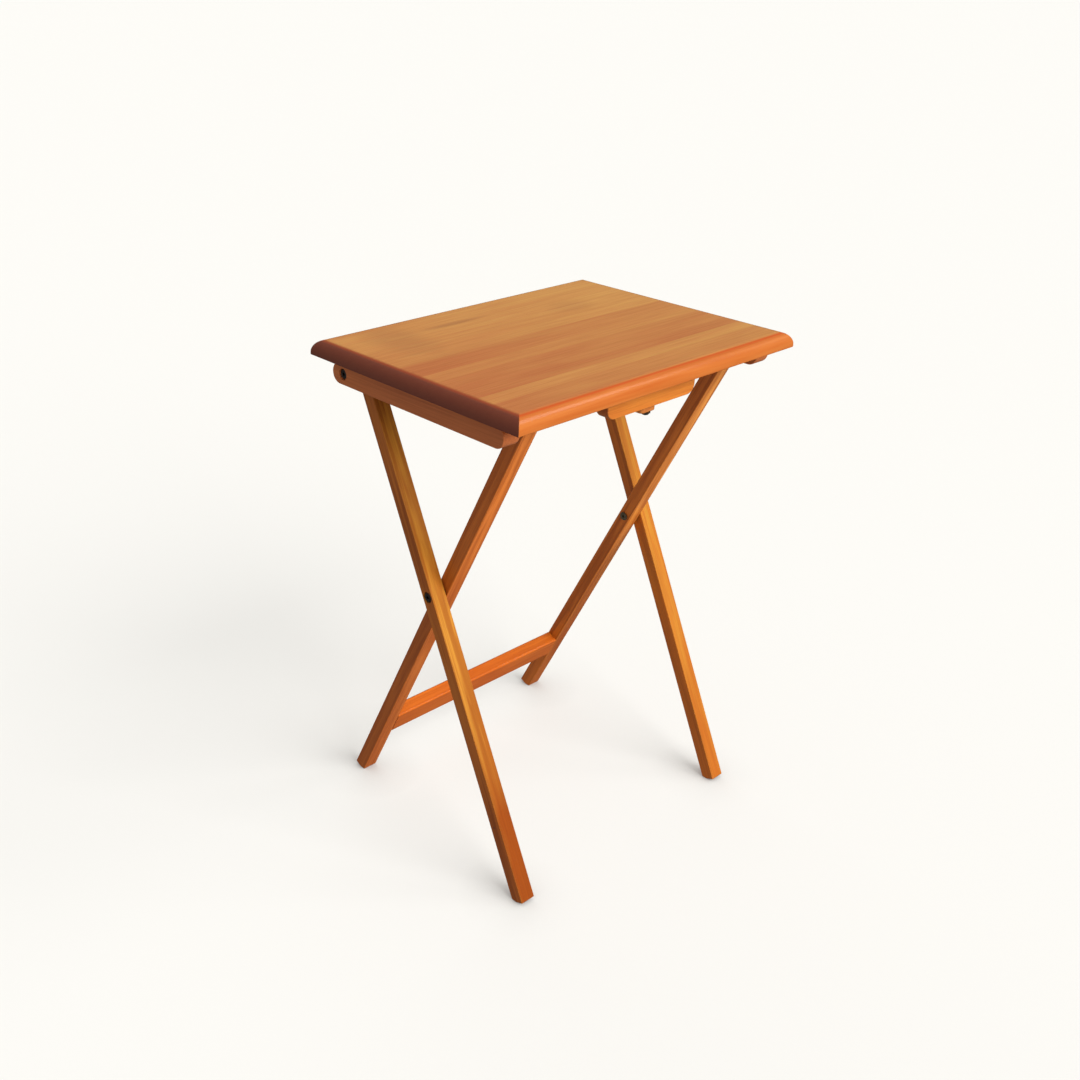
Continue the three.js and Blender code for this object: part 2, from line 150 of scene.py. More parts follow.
def round_edges(piece, radius, segments, wanted):
    """Rounds the edges whose two ends wanted(start, end) says yes to."""
    pick(piece, "edges", lambda edge, ends: wanted(*ends))
    bpy.ops.mesh.bevel(offset=radius, segments=segments, affect="EDGES")
    bpy.ops.object.mode_set(mode="OBJECT")


def ease_sharp_edges(piece, radius, segments=3, sharper_than=28):
    """Eases every edge that still turns by more than that many degrees."""
    pick(piece, "edges", lambda edge, ends: False)
    bpy.ops.mesh.edges_select_sharp(sharpness=radians(sharper_than))
    bpy.ops.mesh.bevel(offset=radius, segments=segments, affect="EDGES")
    bpy.ops.object.mode_set(mode="OBJECT")


def saw(piece, point, outward):
    """Saws off what lies beyond a plane, on the side that outward points to, and closes the cut."""
    pick(piece, "edges", lambda edge, ends: False)
    bpy.ops.mesh.select_all(action="SELECT")
    bpy.ops.mesh.bisect(plane_co=point, plane_no=outward.normalized(), use_fill=True, clear_outer=True)
    bpy.ops.object.mode_set(mode="OBJECT")


def cut_away(piece, cutter):
    deselect_all()
    bpy.context.view_layer.objects.active = piece
    piece.select_set(True)
    boolean = piece.modifiers.new("cut", "BOOLEAN")
    boolean.operation = "DIFFERENCE"
    boolean.solver = "EXACT"
    boolean.object = cutter
    bpy.ops.object.modifier_apply(modifier=boolean.name)
    bpy.data.objects.remove(cutter)


def drill(piece, mouth, along, radius, depth):
    """Drills a round hole from its mouth on the surface, and eases the mouth a little."""
    mouth = Vector(mouth)
    above = 1 * MM
    flare = 0.35 * MM
    cut_away(piece, rod("drill", mouth - above * along, mouth + depth * along, radius))
    deselect_all()
    bpy.ops.mesh.primitive_cone_add(
        vertices=48, radius1=radius + above + flare, radius2=radius, depth=above + flare,
        location=mouth + (flare - above) / 2 * along, rotation=Z.rotation_difference(along).to_euler())
    flared = bpy.context.object
    settle(flared)
    cut_away(piece, flared)


def countersink(piece, mouth, along, depth):
    """Drills a screw's hole with a cone at its mouth for the screw's head."""
    mouth = Vector(mouth)
    above = 1 * MM
    cut_away(piece, rod("drill", mouth - above * along, mouth + depth * along, SCREW["shank"]))
    slope = (SCREW["head"] - SCREW["shank"]) / SCREW["head_height"]
    deselect_all()
    bpy.ops.mesh.primitive_cone_add(
        vertices=48, radius1=SCREW["head"] + above * slope, radius2=SCREW["shank"],
        depth=SCREW["head_height"] + above, location=mouth + (SCREW["head_height"] - above) / 2 * along,
        rotation=Z.rotation_difference(along).to_euler())
    cone = bpy.context.object
    settle(cone)
    cut_away(piece, cone)


def smooth(piece):
    """Rounds look round and flats look flat."""
    deselect_all()
    piece.select_set(True)
    bpy.context.view_layer.objects.active = piece
    bpy.ops.object.shade_smooth_by_angle(angle=radians(50))
    weighted = piece.modifiers.new("weighted", "WEIGHTED_NORMAL")
    weighted.keep_sharp = True
    bpy.ops.object.modifier_apply(modifier=weighted.name)


def keep(piece, name, value_of):
    """Keeps a value on each face corner, worked out from the way the finished surface faces there."""
    values = [value_of(corner.vector) for corner in piece.data.corner_normals]
    piece.data.attributes.new(name, "FLOAT", "CORNER").data.foreach_set("value", values)


def keep_wood_values(piece, grain):
    """end_grain is 1 where the surface faces along the grain, flank is 1 on the sides that face left and
    right, and rubbed is 1 on an eased edge."""
    keep(piece, "end_grain", lambda normal: abs(normal.dot(grain)))
    keep(piece, "flank", lambda normal: abs(normal.x))
    keep(piece, "rubbed", lambda normal: min(1, (1 - max(map(abs, normal))) / 0.25))


def hand_over(piece, material, body, slot, *nodes):
    """The finished piece gets its material, moves with its body and stands for its CAD nodes."""
    piece.data.materials.clear()
    piece.data.materials.append(material)
    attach(piece, body)
    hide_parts(*nodes)


# ---- Node graphs ----
class Graph:
    """A material's node tree, with short ways to add and join nodes."""

    def __init__(self, name):
        self.material = bpy.data.materials.new(name)
        self.material.use_nodes = True
        self.tree = self.material.node_tree
        self.shader = self.tree.nodes["Principled BSDF"]

    def add(self, kind, inputs=None, **settings):
        node = self.tree.nodes.new(kind)
        for key, value in settings.items():
            setattr(node, key, value)
        for key, value in (inputs or {}).items():
            if isinstance(value, bpy.types.NodeSocket):
                self.tree.links.new(value, node.inputs[key])
            else:
                node.inputs[key].default_value = value
        return node

    def maths(self, operation, a, b=0.0):
        return self.add("ShaderNodeMath", {0: a, 1: b}, operation=operation).outputs[0]

    def stretched(self, vector, scale):
        return self.add("ShaderNodeVectorMath", {0: vector, 1: scale}, operation="MULTIPLY").outputs[0]

    def noise(self, vector, scale, detail=2.0, roughness=0.5, distortion=0.0):
        inputs = {"Vector": self.stretched(vector, scale), "Scale": 1.0, "Detail": detail,
                  "Roughness": roughness, "Distortion": distortion}
        return self.add("ShaderNodeTexNoise", inputs).outputs["Fac"]

    def ranged(self, value, low, high, to_low=0.0, to_high=1.0):
        inputs = {"Value": value, "From Min": low, "From Max": high, "To Min": to_low, "To Max": to_high}
        return self.add("ShaderNodeMapRange", inputs).outputs[0]

    def mixed(self, factor, a, b, blend="MIX"):
        node = self.add("ShaderNodeMix", data_type="RGBA", blend_type=blend)
        for socket, value in ((node.inputs[0], factor), (node.inputs[6], a), (node.inputs[7], b)):
            if isinstance(value, bpy.types.NodeSocket):
                self.tree.links.new(value, socket)
            else:
                socket.default_value = value
        return node.outputs[2]

    def feed(self, **sockets):
        for key, value in sockets.items():
            socket = self.shader.inputs[key.replace("_", " ")]
            if isinstance(value, bpy.types.NodeSocket):
                self.tree.links.new(value, socket)
            else:
                socket.default_value = value


def grey(value):
    return (value, value, value, 1)


# Stain colours. Each piece has a light and a dark tone of the figure, and some have a third on their flanks,
# painted to set how bright those sides look. On the legs the dark tone also serves as painted shade towards the
# feet.
# HONEY and TAN, the tray's tones, are the wood's colour with a painted sheen in them. They are paler and bluer
# than the tones of the tray's round.
HONEY = (0.61, 0.300, 0.078, 1)
TAN = (0.47, 0.146, 0.042, 1)
GOLD = (0.50, 0.215, 0.026, 1)
AMBER = (0.50, 0.125, 0.014, 1)
RUSSET = (0.57, 0.135, 0.013, 1)
BURNT = (0.25, 0.050, 0.003, 1)
CHESTNUT = (0.66, 0.160, 0.014, 1)
UMBER = (0.15, 0.036, 0.024, 1)
RED_EDGE = (0.46, 0.062, 0.006, 1)  # the line along the shoulder of the tray's round
ROUND_LIGHT = (0.47, 0.132, 0.022, 1)
ROUND_DARK = (0.40, 0.084, 0.009, 1)
BATTEN_LIGHT = (0.60, 0.175, 0.050, 1)
BATTEN_DARK = (0.50, 0.140, 0.042, 1)
BLOCK_LIGHT = (0.62, 0.205, 0.028, 1)
BLOCK_DARK = (0.54, 0.150, 0.020, 1)
BUTTON_LIGHT = (0.66, 0.240, 0.045, 1)
BUTTON_DARK = (0.56, 0.170, 0.030, 1)
BAR_DARK = (0.45, 0.088, 0.007, 1)
OUTER_RIGHT_DARK = (0.40, 0.105, 0.010, 1)
INNER_LEFT_LIGHT = (0.74, 0.210, 0.034, 1)
INNER_RIGHT_LIGHT = (0.84, 0.320, 0.062, 1)
INNER_DARK = (0.36, 0.076, 0.008, 1)
BEECH_LIGHT = (0.66, 0.45, 0.25, 1)
BEECH_DARK = (0.56, 0.36, 0.18, 1)
OXIDE = (0.20, 0.185, 0.18, 1)
OXIDE_STAIN = (0.09, 0.08, 0.075, 1)
ZINC = (0.50, 0.46, 0.33, 1)
ZINC_STAIN = (0.34, 0.31, 0.21, 1)
STEEL_ROUGHNESS = 0.42

# How each grain direction is turned to run along Z.
GRAIN_TURNS = {
    "x": (0, -pi / 2, 0),
    "y": (pi / 2, 0, 0),
    "outer_leg": (LEG_ANGLE, 0, 0),
    "inner_leg": (-LEG_ANGLE, 0, 0),
}


def wood_finish(name, grain, seed, light, dark, flank=None, painted_shade_drift=None, end_darkness=0.35, marks=(),
                tray=False):
    """Stained and lacquered wood.

    light and dark are the two tones of the figure, and flank is a tone painted on the sides that face left and
    right, to set how bright those sides look under the light.
    drift=(low, high) is painted shade. It lets the colour go from dark to light between two distances from the
    crossing, measured along the grain, so that a leg darkens towards its foot. Each mark is a knot or a mineral
    streak: its place, its half lengths along X, Y and Z, and how dark it is."""
    graph = Graph(name)
    place = graph.add("ShaderNodeTexCoord").outputs["Object"]
    turned = graph.add("ShaderNodeMapping", {"Vector": place, "Rotation": GRAIN_TURNS[grain]}).outputs[0]
    own_board = {"Vector": turned, "Location": (seed * 1.7, seed * 2.3, seed * 0.9)}
    vector = graph.add("ShaderNodeMapping", own_board).outputs[0]
    if tray:
        tone = stave_tone(graph, place)
        shift = graph.stretched(tone, (3.1, 5.3, 7.7))
        vector = graph.add("ShaderNodeVectorMath", {0: vector, 1: shift}, operation="ADD").outputs[0]

    figure = graph.noise(vector, (26, 26, 3.2), detail=3, roughness=0.55, distortion=0.8)
    bands = graph.noise(vector, (110, 110, 5), detail=4, roughness=0.6, distortion=0.5)
    fibres = graph.noise(vector, (430, 430, 10), detail=5, roughness=0.65)
    pores = graph.noise(vector, (1700, 1700, 70), detail=2)

    warmth = graph.ranged(figure, 0.36, 0.64)
    if tray:
        warmth = graph.maths("ADD", graph.maths("MULTIPLY", warmth, 0.35), tone)
        # Painted sheen: the top goes from darker at its left end to paler at its right end. This stands in for the
        # reflection that grows at grazing angles.
        to_the_right = graph.add("ShaderNodeSeparateXYZ", {0: place}).outputs[0]
        painted_sheen = graph.ranged(to_the_right, TRAY_LOW.x, TRAY_HIGH.x, -0.25, 0.2)
        warmth = graph.maths("ADD", warmth, painted_sheen)
    # Painted shade: the colour darkens towards the foot between the two distances of drift. This stands in for
    # light that falls off down the leg.
    if painted_shade_drift:
        distance = graph.add("ShaderNodeSeparateXYZ", {0: turned}).outputs[2]
        crossing = CROSSING.z * cos(LEG_ANGLE)
        painted_leg_light = graph.ranged(distance, crossing + painted_shade_drift[0], crossing + painted_shade_drift[1])
        painted_leg_light = graph.maths("SUBTRACT", painted_leg_light, 0.25)
        warmth = graph.maths("ADD", graph.maths("MULTIPLY", warmth, 0.55), painted_leg_light)
    colour = graph.mixed(graph.ranged(warmth, 0, 1), dark, light)
    # Painted light: the sides that face left and right take the flank tone, which is set to how brightly those
    # sides are lit.
    if flank:
        sideways = graph.add("ShaderNodeAttribute", attribute_name="flank").outputs["Fac"]
        colour = graph.mixed(graph.ranged(sideways, 0.4, 0.9, 0, 0.75), colour, flank)
    colour = graph.mixed(graph.ranged(bands, 0.42, 0.58, 0, 0.22 if tray else 0.62), colour, dark)
    streaks = graph.add("ShaderNodeValToRGB", {0: fibres})
    streaks.color_ramp.elements[0].position = 0.32
    streaks.color_ramp.elements[0].color = (0.80, 0.74, 0.66, 1)
    streaks.color_ramp.elements[1].position = 0.60
    streaks.color_ramp.elements[1].color = (1.08, 1.08, 1.06, 1)
    colour = graph.mixed(0.45 if tray else 0.7, colour, streaks.outputs[0], "MULTIPLY")
    open_pores = graph.ranged(pores, 0.66, 0.76, 0, 0.3)
    colour = graph.mixed(open_pores, colour, UMBER)

    if tray:
        rolled = graph.add("ShaderNodeAttribute", attribute_name="rolled").outputs["Fac"]
        stained = graph.mixed(graph.ranged(bands, 0.35, 0.65), ROUND_DARK, ROUND_LIGHT)
        colour = graph.mixed(graph.maths("MULTIPLY", rolled, 0.92), colour, stained)
        begins, ends = graph.ranged(rolled, 0.1, 0.4), graph.ranged(rolled, 0.6, 1, 1, 0)
        shoulder = graph.maths("MULTIPLY", begins, ends)
        colour = graph.mixed(graph.maths("MULTIPLY", shoulder, 0.85), colour, RED_EDGE)
    end_grain = graph.add("ShaderNodeAttribute", attribute_name="end_grain").outputs["Fac"]
    colour = graph.mixed(graph.ranged(end_grain, 0.06, 0.50, 0, end_darkness), colour, UMBER)
    rubbed = graph.add("ShaderNodeAttribute", attribute_name="rubbed").outputs["Fac"]
    worn = graph.maths("MULTIPLY", rubbed, graph.ranged(bands, 0.42, 0.6, 0.1, 0.5))
    colour = graph.mixed(worn, colour, light)
    for middle, half_lengths, darkness in marks:
        offset = graph.add("ShaderNodeVectorMath", {0: place, 1: middle}, operation="SUBTRACT")
        offset = graph.stretched(offset.outputs[0], [1 / half for half in half_lengths])
        away = graph.add("ShaderNodeVectorMath", {0: offset}, operation="LENGTH").outputs["Value"]
        ragged = graph.maths("ADD", away, graph.ranged(bands, 0.3, 0.7, -0.3, 0.3))
        colour = graph.mixed(graph.ranged(ragged, 0.35, 1, darkness, 0), colour, UMBER)

    relief = graph.maths("SUBTRACT", fibres, graph.maths("MULTIPLY", open_pores, 2.0))
    bump = graph.add("ShaderNodeBump", {"Height": relief, "Strength": 0.2, "Distance": 0.15 * MM})
    graph.feed(Base_Color=colour, Roughness=graph.ranged(fibres, 0.3, 0.7, 0.48, 0.38),
               Specular_IOR_Level=0.25, Coat_Weight=0.3, Coat_Roughness=0.14, Normal=bump.outputs[0])
    return graph.material


def stave_tone(graph, place):
    """The tone of the stave at that place, from the front edge of the tray to the back."""
    across = graph.add("ShaderNodeSeparateXYZ", {0: place}).outputs[1]
    tones = graph.add("ShaderNodeValToRGB", {0: graph.ranged(across, TRAY_LOW.y, TRAY_HIGH.y)})
    tones.color_ramp.interpolation = "CONSTANT"
    stops = tones.color_ramp.elements
    stops.remove(stops[1])
    for edge, tone in STAVES:
        position = (edge - TRAY_LOW.y) / (TRAY_HIGH.y - TRAY_LOW.y)
        stop = stops[0] if position <= 0 else stops.new(position)
        stop.position = max(0, position)
        stop.color = grey(tone)
    return tones.outputs[0]


def steel_finish(name, colour, dull, roughness):
    """Plain or oxide-dark steel with small stains and a fine scratchy grain."""
    graph = Graph(name)
    place = graph.add("ShaderNodeTexCoord").outputs["Object"]
    stains = graph.noise(place, (380, 380, 380), detail=4, roughness=0.6)
    scratches = graph.noise(place, (2600, 900, 2600), detail=3)
    shade = graph.mixed(graph.ranged(stains, 0.35, 0.65), dull, colour)
    bump = graph.add("ShaderNodeBump", {"Height": scratches, "Strength": 0.15, "Distance": 0.05 * MM})
    graph.feed(Base_Color=shade, Metallic=1.0, Normal=bump.outputs[0],
               Roughness=graph.ranged(scratches, 0.3, 0.7, roughness - 0.08, roughness + 0.1))
    return graph.material


def dowel_finish():
    """Bare beech with short flecks along the dowel."""
    graph = Graph("bare_beech")
    place = graph.add("ShaderNodeTexCoord").outputs["Object"]
    flecks = graph.noise(place, (60, 900, 900), detail=3, roughness=0.6)
    shade = graph.mixed(graph.ranged(flecks, 0.35, 0.65), BEECH_DARK, BEECH_LIGHT)
    bump = graph.add("ShaderNodeBump", {"Height": flecks, "Strength": 0.2, "Distance": 0.1 * MM})
    graph.feed(Base_Color=shade, Roughness=0.6, Normal=bump.outputs[0])
    return graph.material


# ---- Tray ----
TRAY_LOW, TRAY_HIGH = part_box("tray_top")
# Where each stave begins, measured from the tray's middle line, and its tone from 0 (dark) to 1 (pale).
STAVES = ((-180 * MM, 0.30), (-130 * MM, 0.50), (-105 * MM, 0.10), (-40 * MM, 0.34),
          (-15 * MM, 0.16), (24 * MM, 0.55), (88 * MM, 0.66))
TRAY_MARKS = (
    ((-60 * MM, 119 * MM, 660 * MM), (62 * MM, 9 * MM, 30 * MM), 0.30),
    ((-160 * MM, 105 * MM, 660 * MM), (45 * MM, 85 * MM, 30 * MM), 0.18),
    ((110 * MM, 82 * MM, 660 * MM), (45 * MM, 30 * MM, 30 * MM), 0.12),
)


def tray_panel():
    """The glued panel: a large round along the upper edges, mitred at the corners, and a small lower arris."""
    panel = bar("tray_panel", TRAY_LOW, TRAY_HIGH)
    top, bottom = TRAY_HIGH.z, TRAY_LOW.z
    round_edges(panel, TRAY_ROUND, 14, lambda a, b: min(a.z, b.z) > top - 1e-6)
    round_edges(panel, TRAY_ARRIS, 3, lambda a, b: max(a.z, b.z) < bottom + 1e-6)
    pick(panel, "edges", lambda edge, ends: on_mitre(*ends))
    bpy.ops.mesh.bevel(offset=0.8 * MM, offset_type="WIDTH", segments=1, affect="EDGES")
    bpy.ops.object.mode_set(mode="OBJECT")
    for node in ("batten_screw_left_front", "batten_screw_left_back", "batten_screw_right_front",
                 "batten_screw_right_back", "block_screw_left", "block_screw_right"):
        low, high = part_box(node)
        mouth = Vector(((low.x + high.x) / 2, (low.y + high.y) / 2, bottom))
        drill(panel, mouth, Z, SCREW["shank"], high.z + 0.5 * MM - bottom)
    smooth(panel)
    keep(panel, "end_grain", lambda normal: abs(normal.x))
    keep(panel, "rolled", lambda normal: min(1, (1 - normal.z) / 0.12))
    material = wood_finish("tray_boards", "x", 1, HONEY, TAN, end_darkness=0.90, marks=TRAY_MARKS,
                           tray=True)
    hand_over(panel, material, "tray", "tray_wood", "tray_top")


def on_mitre(a, b):
    """True of an edge that runs up a corner, where the rounds of two sides meet."""
    def from_corner(point):
        return abs((TRAY_HIGH.x - abs(point.x)) - (TRAY_HIGH.y - abs(point.y)))
    flat = min(a.z, b.z) > TRAY_HIGH.z - 1e-6 or max(a.z, b.z) < TRAY_LOW.z + 1e-6
    return not flat and from_corner(a) < 1e-6 and from_corner(b) < 1e-6


# ---- Battens ----
def batten(name, side):
    """A bar with full-round ends, recessed for the pivot bolt and screwed to the tray from below."""
    node = f"batten_{name}"
    low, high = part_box(node)
    piece = bar(f"{node}_wood", low, high)
    half_height = (high.z - low.z) / 2
    round_edges(piece, 0.995 * half_height, 12,
                lambda a, b: abs(a.x - b.x) > 1 * MM and abs(a.y - b.y) < 1e-6)
    ease_sharp_edges(piece, 1.3 * MM)
    outer_face = side * max(abs(low.x), abs(high.x))
    mouth = Vector((outer_face, PIVOT.y, PIVOT.z))
    inward = -side * X
    drill(piece, mouth, inward, BOLT_RECESS, PIVOT_RECESS_DEPTH)
    cut_away(piece, rod("drill", mouth - inward * MM, mouth + inward * (high.x - low.x + MM), BOLT_HOLE))
    for place in ("front", "back"):
        screw_low, screw_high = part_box(f"batten_screw_{name}_{place}")
        screw_mouth = Vector(((low.x + high.x) / 2, (screw_low.y + screw_high.y) / 2, low.z))
        countersink(piece, screw_mouth, Z, high.z - low.z + MM)
    smooth(piece)
    keep_wood_values(piece, Y)
    material = wood_finish(f"batten_wood_{name}", "y", 3 + side, BATTEN_LIGHT, BATTEN_DARK, end_darkness=0)
    hand_over(piece, material, "tray", "frame_wood", node)


# ---- Legs ----
LEG_KNOTS = (
    ((-0.2056, -0.1308, 0.0919), (3 * MM, 2.6 * MM, 3.2 * MM), 0.8),
    ((-0.1836, -0.0661, 0.2531), (2 * MM, 3 * MM, 3 * MM), 0.7),
)


def foot_height(offset, level, lean):
    """How far along a leg's own upright axis the floor's level is, at that offset from its middle line."""
    return (level - CROSSING.z + lean * offset * sin(LEG_ANGLE)) / cos(LEG_ANGLE)


def upright_leg(name, low_x, high_x, lean):
    """A leg standing upright about the crossing. lean is 1 where it leans back as it rises, -1 forward."""
    half = LEG_THICKNESS / 2
    top = LEG_REACH + half
    piece = bar(name, (low_x, -half, -CROSSING.z / cos(LEG_ANGLE) - LEG_THICKNESS), (high_x, half, top))
    floor_point = Vector((0, 0, foot_height(0, 0, lean)))
    down = Vector((0, lean * sin(LEG_ANGLE), -cos(LEG_ANGLE)))
    saw(piece, floor_point, down)
    flat_end = lean * (half - FOOT_FLAT * cos(LEG_ANGLE))
    heel_point = Vector((0, flat_end, foot_height(flat_end, 0, lean)))
    toe_point = Vector((0, -lean * half, foot_height(-lean * half, TOE_LIFT, lean)))
    toe_cut = (toe_point - heel_point).cross(X)
    saw(piece, heel_point, toe_cut if toe_cut.z < 0 else -toe_cut)
    round_edges(piece, 0.995 * half, 12,
                lambda a, b: min(a.z, b.z) > top - 1e-6 and abs(a.y - b.y) < 1e-6)
    ease_sharp_edges(piece, LEG_EASE)
    return piece


def lean_over(piece, lean):
    """Turns an upright piece about the crossing to where it stands in the open table."""
    piece.rotation_euler.x = -lean * LEG_ANGLE
    piece.location = CROSSING
    settle(piece)


def outer_leg(name, side, dark, flank, painted_shade_drift, knots=()):
    node = f"outer_leg_{name}"
    low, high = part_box(node)
    piece = upright_leg(f"{node}_wood", low.x, high.x, 1)
    outer_face = side * max(abs(low.x), abs(high.x))
    inward = -side * X
    crossing_mouth = Vector((outer_face, 0, 0))
    drill(piece, crossing_mouth, inward, BOLT_RECESS, CROSS_RECESS_DEPTH)
    through = high.x - low.x + MM
    cut_away(piece, rod("drill", crossing_mouth, crossing_mouth + through * inward, BOLT_HOLE))
    drill(piece, Vector((outer_face, 0, LEG_REACH)), inward, INSERT_HOLE, INSERT_HOLE_DEPTH)
    smooth(piece)
    keep_wood_values(piece, Z)
    lean_over(piece, 1)
    material = wood_finish(f"outer_leg_wood_{name}", "outer_leg", 7 + side, GOLD, dark, flank=flank,
                           painted_shade_drift=painted_shade_drift, marks=knots)
    hand_over(piece, material, "outer_legs", "frame_wood", node)


def dowel_mouths(side, face, level, dowel):
    return [Vector((side * face, 0, level + step * dowel["spacing"] / 2)) for step in (-1, 1)]


def inner_leg(name, side, light, flank):
    node = f"inner_leg_{name}"
    low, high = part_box(node)
    piece = upright_leg(f"{node}_wood", low.x, high.x, -1)
    inner_face = min(abs(low.x), abs(high.x))
    outward = side * X
    nut_mouth = Vector((side * inner_face, 0, 0))
    drill(piece, nut_mouth, outward, NUT_HOLE["radius"], NUT_HOLE["depth"])
    cut_away(piece, rod("drill", nut_mouth, nut_mouth + (high.x - low.x + MM) * outward, BOLT_HOLE))
    for level, dowel in ((STRETCHER_LEVEL, STRETCHER_DOWEL), (LEG_REACH, RAIL_DOWEL)):
        for mouth in dowel_mouths(side, inner_face, level, dowel):
            end = mouth + dowel["half"] * outward
            cut_away(piece, rod("drill", mouth - MM * outward, end, dowel["radius"]))
    smooth(piece)
    keep_wood_values(piece, Z)
    lean_over(piece, -1)
    # The inner legs darken towards their feet as painted shade.
    material = wood_finish(f"inner_leg_wood_{name}", "inner_leg", 12 + side, light, INNER_DARK,
                           flank=flank, painted_shade_drift=(-0.40, 0.26))
    hand_over(piece, material, "inner_frame", "frame_wood", node)


# ---- Bars between the inner legs ----
def level_on_inner_legs(node):
    """How far along the inner legs from the crossing that bar's middle is."""
    low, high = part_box(node)
    middle = (low + high) / 2 - CROSSING
    return middle.z * cos(LEG_ANGLE) - middle.y * sin(LEG_ANGLE)


STRETCHER_LEVEL = level_on_inner_legs("lower_stretcher")


def cross_bar(node, section, dowel, level, seed):
    low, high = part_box(node)
    half_thickness, half_height = section["thickness"] / 2, section["height"] / 2
    piece = bar(f"{node}_wood", (low.x, -half_thickness, level - half_height),
                (high.x, half_thickness, level + half_height))
    round_edges(piece, section["ease"], 5, lambda a, b: abs(a.x - b.x) > 1 * MM)
    for side in (-1, 1):
        for mouth in dowel_mouths(side, high.x, level, dowel):
            end = mouth - side * dowel["half"] * X
            cut_away(piece, rod("drill", mouth + side * MM * X, end, dowel["radius"]))
    smooth(piece)
    keep_wood_values(piece, X)
    lean_over(piece, -1)
    material = wood_finish(f"{node}_finish", "x", seed, RUSSET, BAR_DARK)
    hand_over(piece, material, "inner_frame", "frame_wood", node)


# ---- Catch block and turn button ----
def catch_block():
    low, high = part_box("catch_block")
    piece = bar("catch_block_wood", low, high)
    round_edges(piece, BLOCK_CORNER, 10,
                lambda a, b: abs(a.y - b.y) > 1 * MM and max(a.z, b.z) < low.z + 1e-6)
    ease_sharp_edges(piece, 1.1 * MM)
    for name in SIDES:
        screw_low, screw_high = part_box(f"block_screw_{name}")
        mouth = Vector(((screw_low.x + screw_high.x) / 2, (low.y + high.y) / 2, low.z))
        countersink(piece, mouth, Z, high.z - low.z + MM)
    screw_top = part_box("button_screw")[1].z
    drill(piece, Vector((BUTTON_AXIS.x, BUTTON_AXIS.y, low.z)), Z, SCREW["shank"], screw_top + MM - low.z)
    smooth(piece)
    keep_wood_values(piece, X)
    material = wood_finish("catch_block_finish", "x", 21, BLOCK_LIGHT, BLOCK_DARK)
    hand_over(piece, material, "tray", "frame_wood", "catch_block")


def turn_button():
    low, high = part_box("turn_button")
    piece = bar("turn_button_wood", low, high)
    half_width = (high.x - low.x) / 2

    def upright_at(y):
        return lambda a, b: abs(a.z - b.z) > 1 * MM and abs(a.y - y) < 1e-6
    round_edges(piece, 0.99 * half_width, 14, upright_at(high.y))
    round_edges(piece, BUTTON_FRONT_CORNER, 8, upright_at(low.y))
    ease_sharp_edges(piece, 1.9 * MM, 4)
    drill(piece, Vector((BUTTON_AXIS.x, BUTTON_AXIS.y, low.z)), Z, SCREW["shank"], high.z - low.z + MM)
    smooth(piece)
    keep_wood_values(piece, Y)
    material = wood_finish("turn_button_finish", "y", 24, BUTTON_LIGHT, BUTTON_DARK)
    hand_over(piece, material, "latch", "frame_wood", "turn_button")


# ---- Bolts and sleeve nuts ----
def facing(direction):
    return lambda face, corners: face.normal.dot(direction) > 0.99


def on_plane(x):
    return lambda a, b: abs(a.x - x) < 1e-6 and abs(b.x - x) < 1e-6


def socket_bolt(node, side, body, material):
    """A bolt with a rounded head and a hexagon socket, its head outermost."""
    low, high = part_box(node)
    y, z = (low.y + high.y) / 2, (low.z + high.z) / 2
    head_face, tip = side * max(abs(low.x), abs(high.x)), side * min(abs(low.x), abs(high.x))
    head_back = head_face - side * BOLT["head_height"]
    piece = rod(f"{node}_steel", (head_back, y, z), (head_face, y, z), BOLT["head"])
    pick(piece, "polygons", facing(-side * X))
    bpy.ops.mesh.inset(thickness=BOLT["head"] - BOLT["shank"])
    bpy.ops.mesh.extrude_region_move(TRANSFORM_OT_translate={"value": (tip - head_back, 0, 0)})
    bpy.ops.object.mode_set(mode="OBJECT")
    round_edges(piece, 0.9 * MM, 4, on_plane(head_face))
    socket_end = (head_face - side * BOLT["socket_depth"], y, z)
    cut_away(piece, rod("socket", (head_face + side * MM, y, z), socket_end, BOLT["socket"], sides=6))
    smooth(piece)
    hand_over(piece, material, body, "dark_steel", node)


def sleeve_nut(name, side, material):
    """A nut with a thin flange just off the inner leg's inner face and a sleeve that stands in the leg."""
    node = f"cross_nut_{name}"
    low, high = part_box(node)
    y, z = (low.y + high.y) / 2, (low.z + high.z) / 2
    flange = (high.y - low.y) / 2
    sleeve_end, flange_face = side * max(abs(low.x), abs(high.x)), side * min(abs(low.x), abs(high.x))
    flange_back = flange_face + side * NUT["flange_thickness"]
    piece = rod(f"{node}_steel", (flange_back, y, z), (flange_face, y, z), flange)
    pick(piece, "polygons", facing(side * X))
    bpy.ops.mesh.inset(thickness=flange - NUT["sleeve"])
    bpy.ops.mesh.extrude_region_move(TRANSFORM_OT_translate={"value": (sleeve_end - flange_back, 0, 0)})
    bpy.ops.object.mode_set(mode="OBJECT")
    round_edges(piece, 0.6 * MM, 4, on_plane(flange_face))
    bore_end = (flange_back + side * NUT["solid_end"], y, z)
    cut_away(piece, rod("bore", (sleeve_end + side * MM, y, z), bore_end, BOLT_HOLE))
    socket_end = (flange_face + side * NUT["socket_depth"], y, z)
    cut_away(piece, rod("socket", (flange_face - side * MM, y, z), socket_end, BOLT["socket"], sides=6))
    smooth(piece)
    hand_over(piece, material, "outer_legs", "bright_steel", node)


